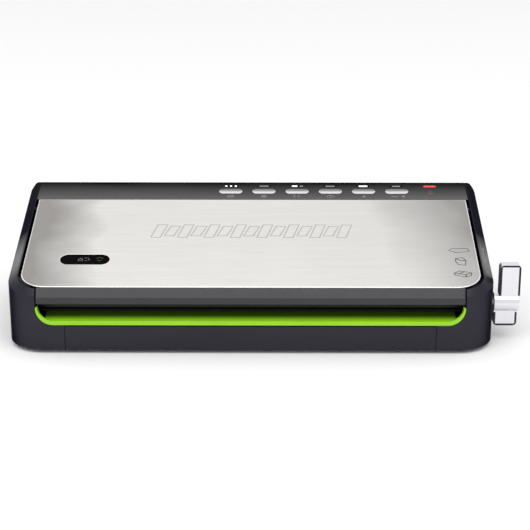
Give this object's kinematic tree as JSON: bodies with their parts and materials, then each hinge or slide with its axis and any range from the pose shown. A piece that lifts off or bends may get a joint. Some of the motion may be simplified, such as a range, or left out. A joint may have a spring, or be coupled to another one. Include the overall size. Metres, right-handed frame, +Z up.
{
  "type": "vacuum sealer",
  "caption": "Wedge-shaped counter-top vacuum sealer with a brushed steel lid, a bag slot with a coloured guide, a row of pill buttons and a side latch lever.",
  "frame": {"origin": "on the counter, under the middle of the machine's overall box, lever included", "axes": "+Z up, front face towards -Y, +X to the right (lever side)"},
  "size_m": [0.4442, 0.184, 0.1033],
  "materials": {
    "housing_plastic": "satin",
    "panel_plastic": "gloss",
    "guide_plastic": "satin",
    "cover_plastic": "matte",
    "lid_plastic": "satin",
    "lining_plastic": "matte",
    "brushed_plate": "brushed",
    "chrome": "polished",
    "window": "gloss",
    "rubber": "matte",
    "gasket_foam": "matte",
    "silicone": "matte",
    "button_silver": "satin",
    "lens_white": "gloss",
    "lens_red": "gloss",
    "steel": "zinc plated",
    "aluminium": "extruded",
    "tape": "woven, coated",
    "nichrome": "rolled",
    "brass": "plain",
    "circuit_board": "matte",
    "clear_hose": "gloss",
    "tray_plastic": "matte",
    "copper": "enamelled",
    "laminated_iron": "stacked sheet",
    "inner_plastic": "matte"
  },
  "bodies": {
    "housing": {"base_shell": "housing_plastic", "front_panel": "housing_plastic", "bag_guide": "guide_plastic", "bottom_cover": "cover_plastic", "rubber_feet": "rubber", "bottom_screws": "steel", "cord_gland": "rubber", "control_panel": "panel_plastic", "status_lenses": "lens_white", "alert_lens": "lens_red", "control_board": "circuit_board", "key_switches": "inner_plastic", "panel_screws": "steel", "chamber_deck": "lining_plastic", "lower_gasket": "gasket_foam", "drip_tray": "tray_plastic", "seal_bar": "aluminium", "heating_strip": "nichrome", "release_tape": "tape", "bar_terminals": "brass", "hinge_pins": "steel", "shaft_bushes": "inner_plastic", "latch_switch": "inner_plastic", "pump_head": "inner_plastic", "pump_motor": "steel", "pump_mounts": "rubber", "vacuum_port": "inner_plastic", "vent_hose": "clear_hose", "release_valve": "inner_plastic", "vacuum_hose": "clear_hose", "transformer_core": "laminated_iron", "transformer_winding": "copper", "power_board": "circuit_board", "board_screws": "steel", "smoothing_capacitor": "lens_white", "power_relay": "cover_plastic"},
    "lid": {"lid_shell": "lid_plastic", "lid_plate": "brushed_plate", "window_bezel": "chrome", "window_lens": "window", "lid_lining": "lining_plastic", "upper_gasket": "gasket_foam", "pressure_pad": "silicone", "lid_screws": "steel", "lid_catches": "lining_plastic"},
    "latch": {"lever_handle": "chrome", "latch_shaft": "steel", "left_hook": "steel", "right_hook": "steel", "switch_cam": "inner_plastic", "retaining_clip": "steel"},
    "vacuum_seal_key": {"vacuum_seal_button": "button_silver"},
    "seal_only_key": {"seal_only_button": "button_silver"},
    "pulse_key": {"pulse_button": "button_silver"},
    "moist_food_key": {"moist_food_button": "button_silver"},
    "accessory_key": {"accessory_button": "button_silver"},
    "cancel_key": {"cancel_button": "button_silver"},
    "crank": {"pump_crank": "steel"},
    "plunger": {"valve_plunger": "steel"}
  },
  "joints": [
    {"name": "lid_hinge", "type": "hinge", "parent": "housing", "child": "lid", "pos_m": [-0.01215, 0.04428, 0.08779], "axis": [-1, 0, 0], "range_deg": [0, 65]},
    {"name": "latch_turn", "type": "hinge", "parent": "housing", "child": "latch", "pos_m": [-0.01215, -0.054, 0.0343], "axis": [-1, 0, 0], "range_deg": [0, 60]},
    {"name": "vacuum_seal_press", "type": "slide", "parent": "housing", "child": "vacuum_seal_key", "axis": [0, 0.2622, -0.965], "range_m": [0, 0.0012], "stiffness_N_per_m": 400},
    {"name": "seal_only_press", "type": "slide", "parent": "housing", "child": "seal_only_key", "axis": [0, 0.2622, -0.965], "range_m": [0, 0.0012], "stiffness_N_per_m": 400},
    {"name": "pulse_press", "type": "slide", "parent": "housing", "child": "pulse_key", "axis": [0, 0.2622, -0.965], "range_m": [0, 0.0012], "stiffness_N_per_m": 400},
    {"name": "moist_food_press", "type": "slide", "parent": "housing", "child": "moist_food_key", "axis": [0, 0.2622, -0.965], "range_m": [0, 0.0012], "stiffness_N_per_m": 400},
    {"name": "accessory_press", "type": "slide", "parent": "housing", "child": "accessory_key", "axis": [0, 0.2622, -0.965], "range_m": [0, 0.0012], "stiffness_N_per_m": 400},
    {"name": "cancel_press", "type": "slide", "parent": "housing", "child": "cancel_key", "axis": [0, 0.2622, -0.965], "range_m": [0, 0.0012], "stiffness_N_per_m": 400},
    {"name": "crank_spin", "type": "hinge", "parent": "housing", "child": "crank", "pos_m": [-0.18215, 0.02, 0.032], "axis": [1, 0, 0], "continuous": true},
    {"name": "plunger_slide", "type": "slide", "parent": "housing", "child": "plunger", "axis": [0, 0.2622, -0.965], "range_m": [0, 0.0015], "stiffness_N_per_m": 400}
  ]
}
